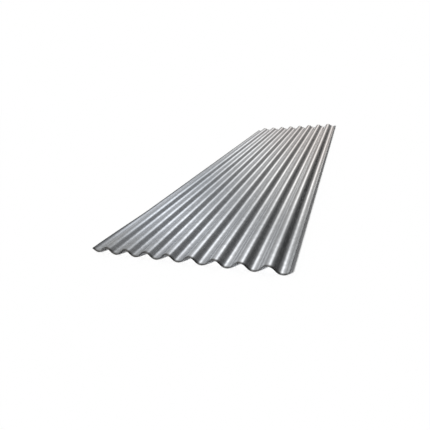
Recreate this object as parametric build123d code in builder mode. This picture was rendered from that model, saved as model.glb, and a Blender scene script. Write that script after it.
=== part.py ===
from build123d import *
from math import cos, radians, sin
import os

# Corrugated galvanised steel sheet: one flat strip, roll-formed into round waves along its length.
# The waves run along Y, X is across them, and the sheet lies on the undersides of its valleys at Z = 0.

# Driving dimensions, in millimetres and degrees
length = 2134.0  # sheared length along the waves
pitch = 76.2  # from one valley to the next
depth = 22.0  # from the underside of the valleys to the top of the crests
gauge = 0.6  # thickness of the steel with its zinc coat
flank_angle = 48.0  # slope of the straight flank between a valley arc and a crest arc
crests = 8  # whole waves, each from one valley over a crest to the next valley
edge_reach = 17.0  # from the middle of an outer valley to the slit edge that turns up beyond it

# The wave is drawn through the middle of the metal: equal arcs joined by flanks tangent to both
rise = depth - gauge
slope_run = cos(radians(flank_angle))
slope_rise = sin(radians(flank_angle))
bend = 2 * flank_angle
bend_radius = (pitch / 4 * slope_rise - rise / 2 * slope_run) / (1 - slope_run)
flank = 2 * (pitch / 4 - bend_radius * slope_rise) / slope_run

# The wave starts at the top of the flank that falls into the left outer valley, and ends at the top of
# the flank that rises out of the right one. Each long edge is slit partway up that flank.
start_x = -(crests + 1) * pitch / 2 + bend_radius * slope_rise
start_z = depth - gauge / 2 - bend_radius * (1 - slope_run)
edge_x = crests * pitch / 2 + edge_reach

os.makedirs("parts", exist_ok=True)

with BuildPart() as corrugated_sheet:
    with BuildSketch(Plane.XZ) as section:
        with BuildLine() as wave:
            falling = PolarLine((start_x, start_z), flank, angle=-flank_angle)
            for _ in range(crests):
                valley = JernArc(falling @ 1, falling % 1, bend_radius, bend)
                rising = PolarLine(valley @ 1, flank, direction=valley % 1)
                crest = JernArc(rising @ 1, rising % 1, bend_radius, -bend)
                falling = PolarLine(crest @ 1, flank, direction=crest % 1)
            valley = JernArc(falling @ 1, falling % 1, bend_radius, bend)
            PolarLine(valley @ 1, flank, direction=valley % 1)
            split(bisect_by=Plane.YZ.offset(-edge_x), keep=Keep.TOP)
            split(bisect_by=Plane.YZ.offset(edge_x), keep=Keep.BOTTOM)
        trace(line_width=gauge)
    extrude(amount=length / 2, both=True)

corrugated_sheet.part.label = "corrugated_sheet"
export_step(corrugated_sheet.part, "parts/corrugated_sheet.step")
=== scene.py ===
from math import cos, pi, radians, sin, tau

import bpy
import numpy as np
from mathutils import Matrix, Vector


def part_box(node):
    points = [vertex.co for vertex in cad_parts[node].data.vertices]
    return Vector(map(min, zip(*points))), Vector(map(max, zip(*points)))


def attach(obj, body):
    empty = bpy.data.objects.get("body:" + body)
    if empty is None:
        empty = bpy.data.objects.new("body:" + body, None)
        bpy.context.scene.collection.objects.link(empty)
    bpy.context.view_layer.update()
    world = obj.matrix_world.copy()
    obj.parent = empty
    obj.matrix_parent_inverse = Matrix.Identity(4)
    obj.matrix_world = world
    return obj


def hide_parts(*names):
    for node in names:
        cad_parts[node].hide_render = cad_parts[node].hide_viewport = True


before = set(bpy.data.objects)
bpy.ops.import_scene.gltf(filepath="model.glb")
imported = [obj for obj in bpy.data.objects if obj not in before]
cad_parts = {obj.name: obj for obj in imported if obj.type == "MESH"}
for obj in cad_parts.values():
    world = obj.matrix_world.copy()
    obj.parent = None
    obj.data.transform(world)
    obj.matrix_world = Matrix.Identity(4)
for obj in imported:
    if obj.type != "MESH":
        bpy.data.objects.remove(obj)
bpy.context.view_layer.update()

# Camera: stands at knee height past the near right corner of the sheet and looks down over it, to the left
# and towards the far end. Its place and its lens come from the sheet's outline in the photo.
stand = (0.4465, -1.703, 0.467)
turn_left = radians(25.634)
look_down = radians(23.539)
lean = radians(-7.997)
photo_side = 430
pixels_per_unit_slope = 305.05
sensor = 36.0

view_camera = bpy.data.cameras.new("photo_view")
view_camera.sensor_width = sensor
view_camera.lens = sensor * pixels_per_unit_slope / photo_side
view_camera.clip_start = 0.01
view_camera.clip_end = 200.0
camera = bpy.data.objects.new("photo_view", view_camera)
aim = Matrix.Rotation(turn_left, 4, "Z")
aim = aim @ Matrix.Rotation(pi / 2 - look_down, 4, "X")
aim = aim @ Matrix.Rotation(lean, 4, "Z")
camera.matrix_world = Matrix.Translation(stand) @ aim
bpy.context.scene.collection.objects.link(camera)
bpy.context.scene.camera = camera

# Corrugated sheet: one strip of steel, hot-dip galvanised flat and then roll-formed into round waves.
# It is sheared square at both ends and slit along both sides, and it lies loose on its valleys.
# Handling has bent the lip at its near left corner up a little.
pitch = 0.0762
gauge = 0.0006
crests = 8
edge_reach = 0.017
flank_slope = radians(48)
low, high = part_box("corrugated_sheet")
length = high.y - low.y
rise = high.z - low.z - gauge
bend = 2 * flank_slope
bend_radius = (pitch / 4 * sin(flank_slope) - rise / 2 * cos(flank_slope)) / (1 - cos(flank_slope))
arc = bend_radius * bend
flank = 2 * (pitch / 4 - bend_radius * sin(flank_slope)) / cos(flank_slope)
lip = (edge_reach - bend_radius * sin(flank_slope)) / cos(flank_slope)
strip_width = (2 * crests + 1) * arc + 2 * crests * flank + 2 * lip
pattern_side = length + 2 * gauge
arc_steps = 12
flank_steps = 2
lip_steps = 2
length_steps = 96
sharp_turn = radians(30)
ripple_share = 0.02
long_ripple = 0.47
short_ripple = 0.29
long_ripple_drift = 2.1
short_ripple_drift = 3.57
lip_lift = 0.0075
bent_length = 0.37
bent_width = 0.029


def wave_section():
    """Middle of the metal across the sheet, as x, z, slope and distance along the metal.

    The slope starts as the falling lip's and adds up the turns: none on lips and flanks, a full bend in each
    arc. Each step is a chord of its own arc, so x and z are running sums of chords along the mean slope.
    """
    runs = np.array([lip] + crests * [arc, flank, arc, flank] + [arc, lip])
    turns = np.array([0] + crests * [bend, 0, -bend, 0] + [bend, 0])
    steps = np.array([lip_steps] + crests * 2 * [arc_steps, flank_steps] + [arc_steps, lip_steps])
    step = np.repeat(runs / steps, steps)
    turn = np.repeat(turns / steps, steps)
    slope = np.append(0, np.cumsum(turn)) - flank_slope
    mean_slope = (slope[1:] + slope[:-1]) / 2
    chord = step * np.sinc(turn / tau)
    x = np.append(0, np.cumsum(chord * np.cos(mean_slope)))
    z = np.append(0, np.cumsum(chord * np.sin(mean_slope)))
    unrolled = np.append(0, np.cumsum(step))
    return x - x[-1] / 2, z - z.min(), slope, unrolled


def rolled_depth(x, y):
    """Share of the full depth that the rolls left.

    It is one, less a small share of the mean of two sine ripples along the length. Each ripple runs from
    nought to one, and its start drifts from wave to wave.
    """
    wave = x / pitch
    long_part = np.sin(tau * y / long_ripple + long_ripple_drift * wave)
    short_part = np.sin(tau * y / short_ripple - short_ripple_drift * wave)
    return 1 - ripple_share * (2 + long_part + short_part) / 4


def bent_lip(x, y):
    """Lift of the near left corner.

    It is the full lift, times the even share of the way out to the left edge, times the smoothed share of the
    way to the near end.
    """
    outward = np.clip((low.x + bent_width - x) / bent_width, 0, 1)
    nearer = np.clip((low.y + bent_length - y) / bent_length, 0, 1)
    return lip_lift * outward * nearer**2 * (3 - 2 * nearer)


def flat_corners(left, right, near, far):
    """Places of quads in the flat pattern: each one's four corners, in turn from the near left one."""
    sides = np.broadcast_arrays(left, near, right, near, right, far, left, far)
    return np.stack(sides, axis=-1).reshape(-1, 2)


def sheet_skin():
    """Closed skin of the sheet: points, quads, the flat pattern of their corners, and ones on the cut quads.

    A ring runs over the top from left to right and back underneath, half a gauge either side of the
    middle of the metal. It is carried along the length, and each end is closed between top and underside.
    In the flat pattern the underside lies to the right of the top, and each cut is a strip beside them.
    """
    x, z, slope, unrolled = wave_section()
    over = np.repeat([gauge / 2, -gauge / 2], len(x))
    x, z, slope = (np.append(line, line[::-1]) for line in (x, z, slope))
    y = np.linspace(low.y, high.y, length_steps + 1)
    middle = rise / 2
    ring_x = x - over * np.sin(slope)
    ring_middle = low.z + gauge / 2 + middle + over * np.cos(slope)
    rolled = ring_middle[:, None] + (z - middle)[:, None] * rolled_depth(x[:, None], y)
    height = rolled + bent_lip(x[:, None], y)
    points = np.stack(np.broadcast_arrays(ring_x[:, None], y, height), axis=-1)

    around, along = height.shape
    at = np.arange(around * along).reshape(around, along)
    after = np.roll(at, -1, axis=0)
    skin = np.stack([at[:, :-1], after[:, :-1], after[:, 1:], at[:, 1:]], axis=-1).reshape(-1, 4)
    top = np.arange(around // 2 - 1)
    under = around - 1 - top
    near_end = np.stack([at[under, 0], at[under - 1, 0], at[top + 1, 0], at[top, 0]], axis=-1)
    far_end = np.stack([at[top, -1], at[top + 1, -1], at[under - 1, -1], at[under, -1]], axis=-1)
    quads = np.concatenate([skin, near_end, far_end])

    across = np.concatenate([unrolled, strip_width + gauge + unrolled, [2 * (strip_width + gauge)]])
    lengthwise = y - low.y + gauge
    pattern = np.concatenate([
        flat_corners(across[:-1, None], across[1:, None], lengthwise[:-1], lengthwise[1:]),
        flat_corners(unrolled[:-1], unrolled[1:], 0.0, gauge),
        flat_corners(unrolled[:-1], unrolled[1:], length + gauge, length + 2 * gauge),
    ])

    side_cuts = np.zeros((around, along - 1), np.float32)
    side_cuts[[around // 2 - 1, around - 1]] = 1
    end_cuts = np.ones(len(near_end) + len(far_end), np.float32)
    return points.reshape(-1, 3), quads, pattern / pattern_side, np.append(side_cuts, end_cuts)


points, quads, pattern, cut = sheet_skin()
sheet_mesh = bpy.data.meshes.new("galvanised_sheet")
sheet_mesh.from_pydata(points, [], quads)
flat_pattern = sheet_mesh.uv_layers.new(name="flat_pattern")
flat_pattern.uv.foreach_set("vector", pattern.astype(np.float32).ravel())
cut_faces = sheet_mesh.attributes.new("cut_edge", "FLOAT", "FACE")
cut_faces.data.foreach_set("value", cut)
sheet_mesh.shade_smooth()
sheet_mesh.set_sharp_from_angle(angle=sharp_turn)
sheet_mesh.validate()
sheet = bpy.data.objects.new("galvanised_sheet", sheet_mesh)
bpy.context.scene.collection.objects.link(sheet)


class Paint:
    """One socket of a node tree. Sums and products of such sockets add the Math nodes that work them out."""

    def __init__(self, tree, socket=None):
        self.tree = tree
        self.socket = socket

    def add(self, kind, settings, sockets, output=0):
        """A new node of this type: its settings first, then a value or a link for each of its sockets."""
        node = self.tree.nodes.new("ShaderNode" + kind)
        for name, value in settings.items():
            if name == "stops":
                ramp = node.color_ramp.elements
                while len(ramp) < len(value):
                    ramp.new(1.0)
                for element, (place, colour) in zip(ramp, value):
                    element.position = place
                    element.color = colour
            else:
                setattr(node, name, value)
        for name, value in sockets.items():
            if isinstance(value, Paint):
                self.tree.links.new(value.socket, node.inputs[name])
            else:
                node.inputs[name].default_value = value
        return Paint(self.tree, node.outputs[output] if node.outputs else None)

    def output(self, name):
        """Another output of the same node."""
        return Paint(self.tree, self.socket.node.outputs[name])

    def math(self, operation, first, second=0.0):
        """The result of one operation on two values."""
        return self.add("Math", {"operation": operation}, {0: first, 1: second})

    def mix(self, factor, first, second, blend="MIX"):
        """The first colour blended with the second by the factor."""
        colour_a, colour_b, colour_result = 6, 7, 2
        settings = {"data_type": "RGBA", "blend_type": blend}
        return self.add("Mix", settings, {"Factor": factor, colour_a: first, colour_b: second}, colour_result)

    def __add__(self, other):
        return self.math("ADD", self, other)

    def __sub__(self, other):
        return self.math("SUBTRACT", self, other)

    def __rsub__(self, other):
        return self.math("SUBTRACT", other, self)

    def __mul__(self, other):
        return self.math("MULTIPLY", self, other)

    __radd__ = __add__
    __rmul__ = __mul__


def new_material(name):
    """An empty material and its node tree, wrapped for Paint."""
    material = bpy.data.materials.new(name)
    material.use_nodes = True
    material.node_tree.nodes.clear()
    return material, Paint(material.node_tree)


zinc, paint = new_material("galvanised_steel")
flat = paint.add("UVMap", {"uv_map": "flat_pattern"}, {})
metres = paint.add("VectorMath", {"operation": "SCALE"}, {0: flat, "Scale": pattern_side})

# Spangle: crystals that froze in the zinc, with ragged borders, each a little lighter or duller than the next
spangle_size = 0.011
frost_size = 0.5 * spangle_size
ragged_size = 0.4 * spangle_size
frost = paint.add("TexNoise", {"noise_dimensions": "2D"}, {
    "Vector": metres,
    "Scale": 1 / frost_size,
    "Detail": 2.0,
}, "Color")
ragged = paint.add("VectorMath", {"operation": "MULTIPLY_ADD"}, {
    0: frost,
    1: (ragged_size, ragged_size, 0.0),
    2: metres,
})
crystals = paint.add("TexVoronoi", {"voronoi_dimensions": "2D"}, {
    "Vector": ragged,
    "Scale": 1 / spangle_size,
}, "Color")
crystal_tone = paint.add("SeparateColor", {}, {0: crystals})
crystal_dullness = crystal_tone.output("Green")
crystal_height = crystal_tone.output("Blue")

# Rolling: fine streaks along the length, and broad patches where the zinc ran thicker
streak_width = 0.0035
streak_length = 0.5
cloud_size = 0.3
stretched = paint.add("VectorMath", {"operation": "MULTIPLY"}, {
    0: metres,
    1: (1 / streak_width, 1 / streak_length, 0.0),
})
streak = paint.add("TexNoise", {"noise_dimensions": "2D"}, {"Vector": stretched, "Scale": 1.0, "Detail": 3.0})
cloud = paint.add("TexNoise", {"noise_dimensions": "2D"}, {
    "Vector": metres,
    "Scale": 1 / cloud_size,
    "Detail": 2.0,
})

# Painted shade: a narrow dark border along every cut stands in for the shadow at the sheet's edges,
# and it is also made duller. It is darkest at the ends, stronger on the left side than the right, and
# weakest on the bent lip.
end_shade_width = 0.012
side_shade_width = 0.017
full_shade_share = 0.3
left_shade_strength = 0.6
bent_lip_shade_strength = 0.15
right_shade_strength = 0.25
place = paint.add("SeparateXYZ", {}, {0: metres})
from_left = paint.math("MODULO", place, strip_width + gauge)
from_right = strip_width - from_left
from_near = place.output("Y") - gauge
from_end = paint.math("MINIMUM", from_near, length - from_near)


def border(distance, width):
    """One over the first share of the width from the cut, then falling smoothly to nothing at all of it."""
    return paint.add("MapRange", {"interpolation_type": "SMOOTHSTEP"}, {
        "Value": distance,
        "From Min": full_shade_share * width,
        "From Max": width,
        "To Min": 1.0,
        "To Max": 0.0,
    })


# Painted shade along the left side: weakest on the bent lip, full strength beyond it
left_shade_ramp = paint.add("MapRange", {}, {
    "Value": from_near,
    "From Max": bent_length,
    "To Min": bent_lip_shade_strength,
    "To Max": left_shade_strength,
})
left_edge_shade = left_shade_ramp * border(from_left, side_shade_width)
right_edge_shade = right_shade_strength * border(from_right, side_shade_width)
side_edge_shade = paint.math("MAXIMUM", left_edge_shade, right_edge_shade)
painted_edge_shade = paint.math("MAXIMUM", side_edge_shade, border(from_end, end_shade_width))
cut_edge = paint.add("Attribute", {"attribute_name": "cut_edge"}, {}, "Fac")

# Zinc: lighter or darker by crystal, streak and patch. A painted blue reflection tints it, strongest
# at the left and fading to the right. The painted edge shade and the cut faces take a dark steel;
# on the cut faces this is bare steel made darker as painted shade.
dull_zinc = (0.463, 0.465, 0.467, 1.0)
bright_zinc = (0.673, 0.675, 0.677, 1.0)
# Painted blue reflection: a cool cast put into the colour, full at the left edge and none at the right
painted_blue_reflection = (0.957, 0.995, 1.05, 1.0)
# Dark steel: the colour of the painted edge shade, and of the cut faces
dark_steel_and_painted_shade = (0.12, 0.118, 0.115, 1.0)
crystal_share = 0.4
streak_share = 0.3
cloud_share = 0.4
tone_drop = 0.05
tone = crystal_share * crystal_tone + streak_share * streak + cloud_share * cloud - tone_drop
blue_reflection_share = paint.add("MapRange", {}, {
    "Value": from_left,
    "From Max": strip_width,
    "To Min": 1.0,
    "To Max": 0.0,
})
zinc_with_painted_tint = paint.mix(blue_reflection_share, paint.mix(tone, dull_zinc, bright_zinc), painted_blue_reflection, "MULTIPLY")
# The painted shade darkens the zinc in a border along every cut
zinc_with_painted_shade = paint.mix(painted_edge_shade, zinc_with_painted_tint, dark_steel_and_painted_shade)
# Cut faces: bare steel, made darker than it is as painted shade
colour = paint.mix(cut_edge, zinc_with_painted_shade, dark_steel_and_painted_shade)

# Polish: the zinc is smooth, a little duller by crystal and streak, and dullest in the painted shade and on
# the cut faces.
# Crystals and streaks stand up by a few hundredths of a millimetre at most.
zinc_roughness = 0.14
crystal_roughness = 0.05
streak_roughness = 0.06
shade_band_roughness = 0.1
cut_roughness = 0.15
crystal_relief = 0.5
relief_strength = 0.25
relief_height = 0.00004
roughness = zinc_roughness + crystal_roughness * crystal_dullness + streak_roughness * streak
roughness = roughness + shade_band_roughness * painted_edge_shade + cut_roughness * cut_edge
relief = paint.add("Bump", {}, {
    "Strength": relief_strength,
    "Distance": relief_height,
    "Height": crystal_relief * crystal_height + streak,
})
surface = paint.add("BsdfPrincipled", {}, {
    "Base Color": colour,
    "Metallic": 1.0,
    "Roughness": roughness,
    "Normal": relief,
})
paint.add("OutputMaterial", {}, {"Surface": surface})
sheet_mesh.materials.append(zinc)
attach(sheet, "root")
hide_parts("corrugated_sheet")

# Floor: a smooth, matt white studio floor that runs out to the horizon on every side. It lies a hair under
# the valleys, takes the sheet's shadow, and is plain white wherever the lamp reaches it.
floor_half = 60.0
floor_drop = 0.0001
floor_mesh = bpy.data.meshes.new("studio_floor")
corners = np.array([[-1, -1, 0], [1, -1, 0], [1, 1, 0], [-1, 1, 0]]) * floor_half
floor_mesh.from_pydata(corners - [0, 0, floor_drop], [], [[0, 1, 2, 3]])
floor = bpy.data.objects.new("studio_floor", floor_mesh)
bpy.context.scene.collection.objects.link(floor)
white_floor, paint = new_material("white_floor")
surface = paint.add("BsdfPrincipled", {}, {
    "Base Color": (1.0, 1.0, 1.0, 1.0),
    "Roughness": 1.0,
    "Specular IOR Level": 0.0,
})
paint.add("OutputMaterial", {}, {"Surface": surface})
floor_mesh.materials.append(white_floor)

# Light tent: a long vault of grey cloth over the sheet, seen only in the metal. A lit strip runs along its
# top, in panels with dimmer gaps between them, and the cloth darkens down the right side. So each wave
# shows a bright, a grey and a dark band.
tent_radius = 6.0
tent_half_length = 45.0
tent_half_angle = radians(100)
tent_steps = 64
tent_strength = 2.2
lit_level = 1.1
near_walls_end = 5.0
far_walls_start = 20.0
straw_white = (0.9, 0.88, 0.84, 1.0)
cold_white = (0.985, 1.0, 1.03, 1.0)
cool_white = (0.98, 1.0, 1.02, 1.0)
plain_white = (0.995, 0.99, 0.98, 1.0)
warm_white = (0.935, 0.92, 0.9, 1.0)
copper_white = (0.935, 0.86, 0.815, 1.0)


def vault():
    """Part of a long tube about the Y axis: x and z are the radius times sine and cosine of the angle.

    The angle is zero at the top and runs from left to right. Each step is one quad, as long as the tube.
    """
    angle = np.linspace(-tent_half_angle, tent_half_angle, tent_steps + 1)
    y = np.array([-tent_half_length, tent_half_length])
    x = tent_radius * np.sin(angle)
    z = tent_radius * np.cos(angle)
    points = np.stack(np.broadcast_arrays(x[:, None], y, z[:, None]), axis=-1)
    at = np.arange(2 * len(angle)).reshape(-1, 2)
    quads = np.stack([at[:-1, 0], at[:-1, 1], at[1:, 1], at[1:, 0]], axis=-1)
    return points.reshape(-1, 3), quads


points, quads = vault()
tent_mesh = bpy.data.meshes.new("light_tent")
tent_mesh.from_pydata(points, [], quads)
tent = bpy.data.objects.new("light_tent", tent_mesh)
bpy.context.scene.collection.objects.link(tent)
tent.visible_camera = False
tent.visible_diffuse = False
tent.visible_shadow = False
tent_cloth, paint = new_material("tent_cloth")
place = paint.add("SeparateXYZ", {}, {0: paint.add("TexCoord", {}, {}, "Object")})
angle = paint.math("ARCTAN2", place, place.output("Z"))
across = angle * (0.5 / tent_half_angle) + 0.5
along = paint.math("ABSOLUTE", place.output("Y")) * (1 / tent_half_length)


def shade(level):
    """Grey of this level in all three colours."""
    return (level, level, level, 1.0)


def turned(degrees):
    """Place on the ramp across the vault: a half at the top and one at the right edge, even in the angle."""
    return radians(degrees) / tent_half_angle / 2 + 0.5


def away(distance):
    """Place on the ramp along the vault: the share of its half length."""
    return distance / tent_half_length


near_walls = paint.add("ValToRGB", {"stops": [
    (turned(12), shade(0.233)),
    (turned(31), shade(0.125)),
    (turned(42), shade(0.114)),
    (turned(50), shade(0.084)),
    (turned(60), shade(0.057)),
    (turned(74), shade(0.028)),
]}, {0: across})
far_walls = paint.add("ValToRGB", {"stops": [
    (turned(12), shade(0.15)),
    (turned(31), shade(0.2)),
    (turned(42), shade(0.182)),
    (turned(50), shade(0.152)),
    (turned(60), shade(0.092)),
    (turned(74), shade(0.02)),
]}, {0: across})
farther = paint.add("MapRange", {}, {
    "Value": along,
    "From Min": away(near_walls_end),
    "From Max": away(far_walls_start),
})
strip = paint.add("ValToRGB", {"stops": [
    (turned(-54), shade(0.0)),
    (turned(-19), shade(0.32)),
    (turned(-3), shade(1.0)),
    (turned(5), shade(1.0)),
    (turned(30), shade(0.0)),
]}, {0: across})
panels = paint.add("ValToRGB", {"stops": [
    (away(1.5), shade(0.8)),
    (away(3.2), shade(0.0)),
    (away(3.9), shade(0.0)),
    (away(6.0), shade(0.88)),
    (away(6.8), shade(0.86)),
    (away(9.0), shade(0.3)),
    (away(10.4), shade(0.32)),
    (away(13.0), shade(0.76)),
    (away(15.5), shade(0.95)),
    (away(18.0), shade(0.8)),
    (away(22.4), shade(0.54)),
    (away(28.0), shade(0.62)),
]}, {0: along})
tint = paint.add("ValToRGB", {"stops": [
    (away(3.6), straw_white),
    (away(4.8), cold_white),
    (away(9.5), cool_white),
    (away(11.5), plain_white),
    (away(17.0), warm_white),
    (away(21.5), copper_white),
]}, {0: along})
lit = paint.add("SeparateColor", {}, {0: strip}) * paint.add("SeparateColor", {}, {0: panels})
walls = paint.mix(farther, near_walls, far_walls)
cloth = paint.mix(1.0, paint.mix(lit, walls, shade(lit_level)), tint, "MULTIPLY")
surface = paint.add("BsdfPrincipled", {}, {
    "Base Color": shade(0.0),
    "Specular IOR Level": 0.0,
    "Emission Color": cloth,
    "Emission Strength": tent_strength,
})
paint.add("OutputMaterial", {}, {"Surface": surface})
# The cloth is met by reflections alone, so it isn't sampled as a lamp and adds no grain to the floor
tent_cloth.cycles.emission_sampling = "NONE"
tent_mesh.materials.append(tent_cloth)

# Lights: one low lamp in front, a little to the left, and a faint white sky. Together they light a level
# surface as it is painted. The lamp shines into the ends of the waves and leaves shade under the sheet.
key_from_left = radians(20)
key_height = radians(22)
key_width = radians(10)
sky_fill = 0.2
sun = bpy.data.lights.new("key_lamp", "SUN")
sun.energy = (1 - sky_fill) * pi / sin(key_height)
sun.angle = key_width
key = bpy.data.objects.new("key_lamp", sun)
key.matrix_world = Matrix.Rotation(-key_from_left, 4, "Z") @ Matrix.Rotation(pi / 2 - key_height, 4, "X")
bpy.context.scene.collection.objects.link(key)
key.visible_glossy = False

# Seen by the camera or in the metal the sky is full white, and as light it is only the fill
sky = bpy.data.worlds.new("studio_sky")
sky.use_nodes = True
sky.node_tree.nodes.clear()
paint = Paint(sky.node_tree)
path = paint.add("LightPath", {}, {})
seen = paint.math("MAXIMUM", path.output("Is Camera Ray"), path.output("Is Glossy Ray"))
seen = paint.math("MAXIMUM", seen, path.output("Is Transmission Ray"))
strength = seen * (1 - sky_fill) + sky_fill
background = paint.add("Background", {}, {"Color": shade(1.0), "Strength": strength})
paint.add("OutputWorld", {}, {"Surface": background})
bpy.context.scene.world = sky

bpy.context.scene.view_settings.view_transform = "Standard"
